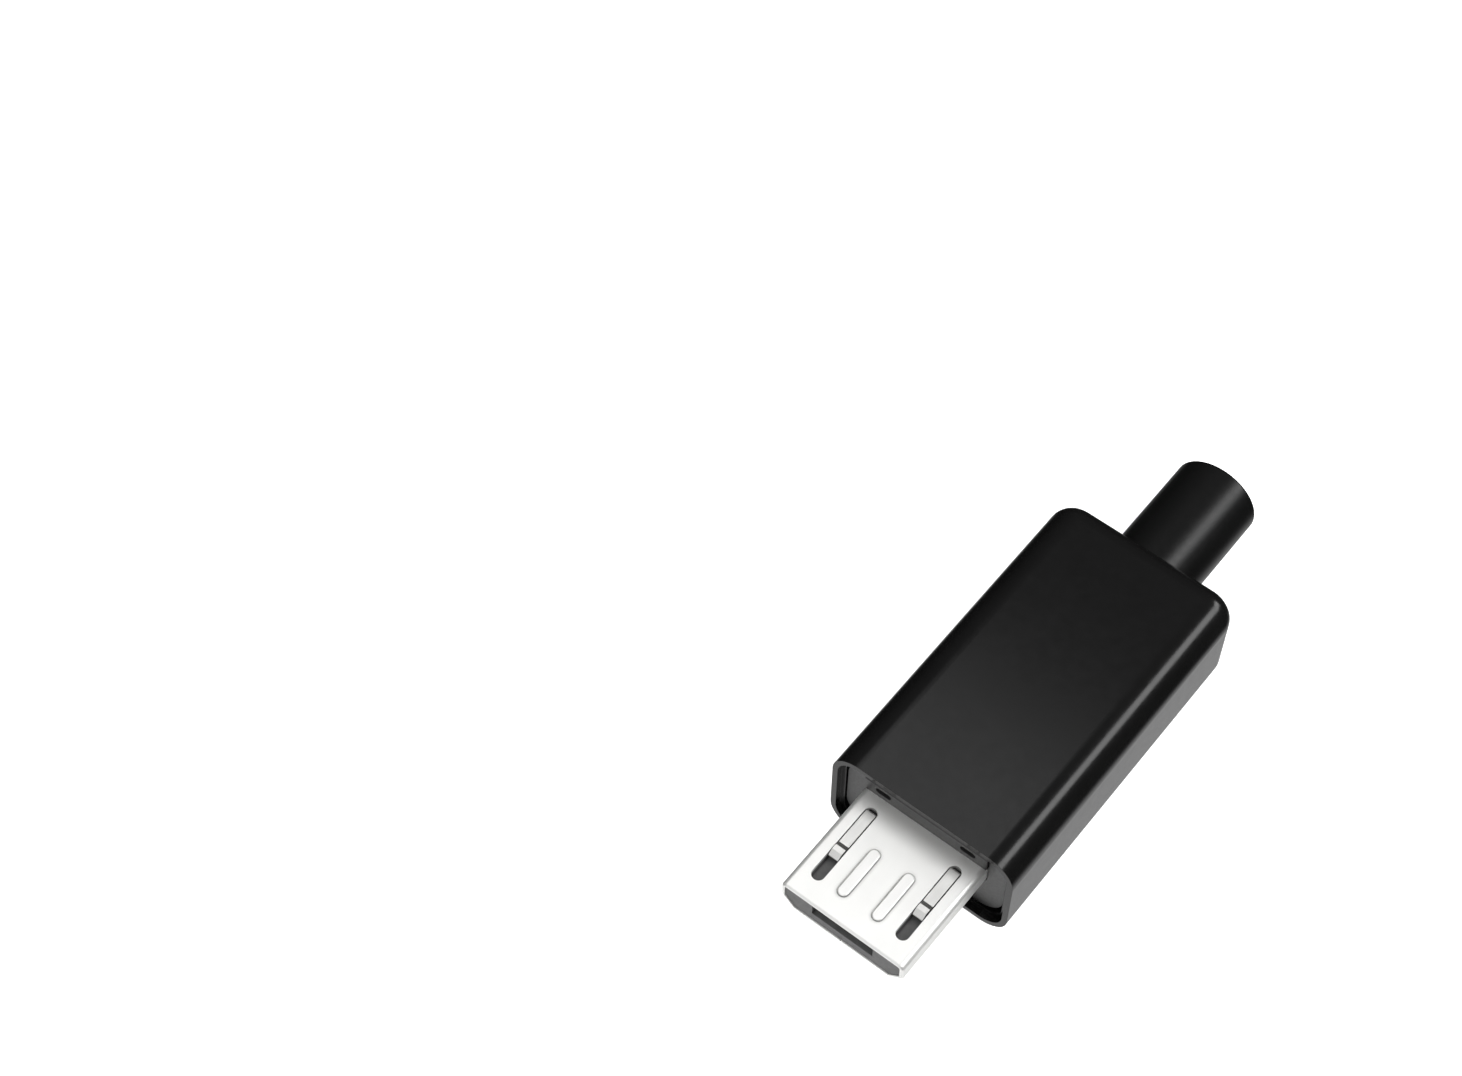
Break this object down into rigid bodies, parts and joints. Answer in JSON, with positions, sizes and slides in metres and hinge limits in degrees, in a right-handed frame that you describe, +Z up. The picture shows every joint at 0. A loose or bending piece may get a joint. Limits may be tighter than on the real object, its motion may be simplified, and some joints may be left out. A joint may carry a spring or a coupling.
{
  "type": "micro usb plug",
  "caption": "Micro-B cable plug for self-made cables, with a flat steel tip, a black moulded cover over a snap-fit insert and a hollow strain relief behind.",
  "frame": {"origin": "under the middle of the plug, on the surface that its cover lies on", "axes": "+X across the plug, +Y along it from the metal tip to the strain relief, +Z up"},
  "size_m": [0.0102, 0.0306, 0.0062],
  "materials": {
    "cover_plastic": "satin black moulding",
    "insert_plastic": "satin black moulding",
    "relief_plastic": "satin black moulding",
    "carrier_plastic": "matte dark grey moulding",
    "tip_steel": "bright plated sheet",
    "spring_steel": "plated spring strip",
    "contact_plating": "tinned strip"
  },
  "bodies": {
    "plug": {"outer_shell": "cover_plastic", "nose_cap": "insert_plastic", "housing": "insert_plastic", "tip_shell": "tip_steel", "contact_carrier": "carrier_plastic", "contact_1": "contact_plating", "contact_2": "contact_plating", "contact_3": "contact_plating", "contact_4": "contact_plating", "contact_5": "contact_plating", "strain_relief": "relief_plastic"},
    "latch_left": {"latch_left": "spring_steel"},
    "latch_right": {"latch_right": "spring_steel"}
  },
  "joints": [
    {"name": "latch_left_press", "type": "hinge", "parent": "plug", "child": "latch_left", "pos_m": [-0.00237, -0.01002, 0.0036], "axis": [1, 0, 0], "range_deg": [0, 5], "stiffness_Nm_per_rad": 0.02},
    {"name": "latch_right_press", "type": "hinge", "parent": "plug", "child": "latch_right", "pos_m": [0.00237, -0.01002, 0.0036], "axis": [1, 0, 0], "range_deg": [0, 5], "stiffness_Nm_per_rad": 0.02}
  ]
}
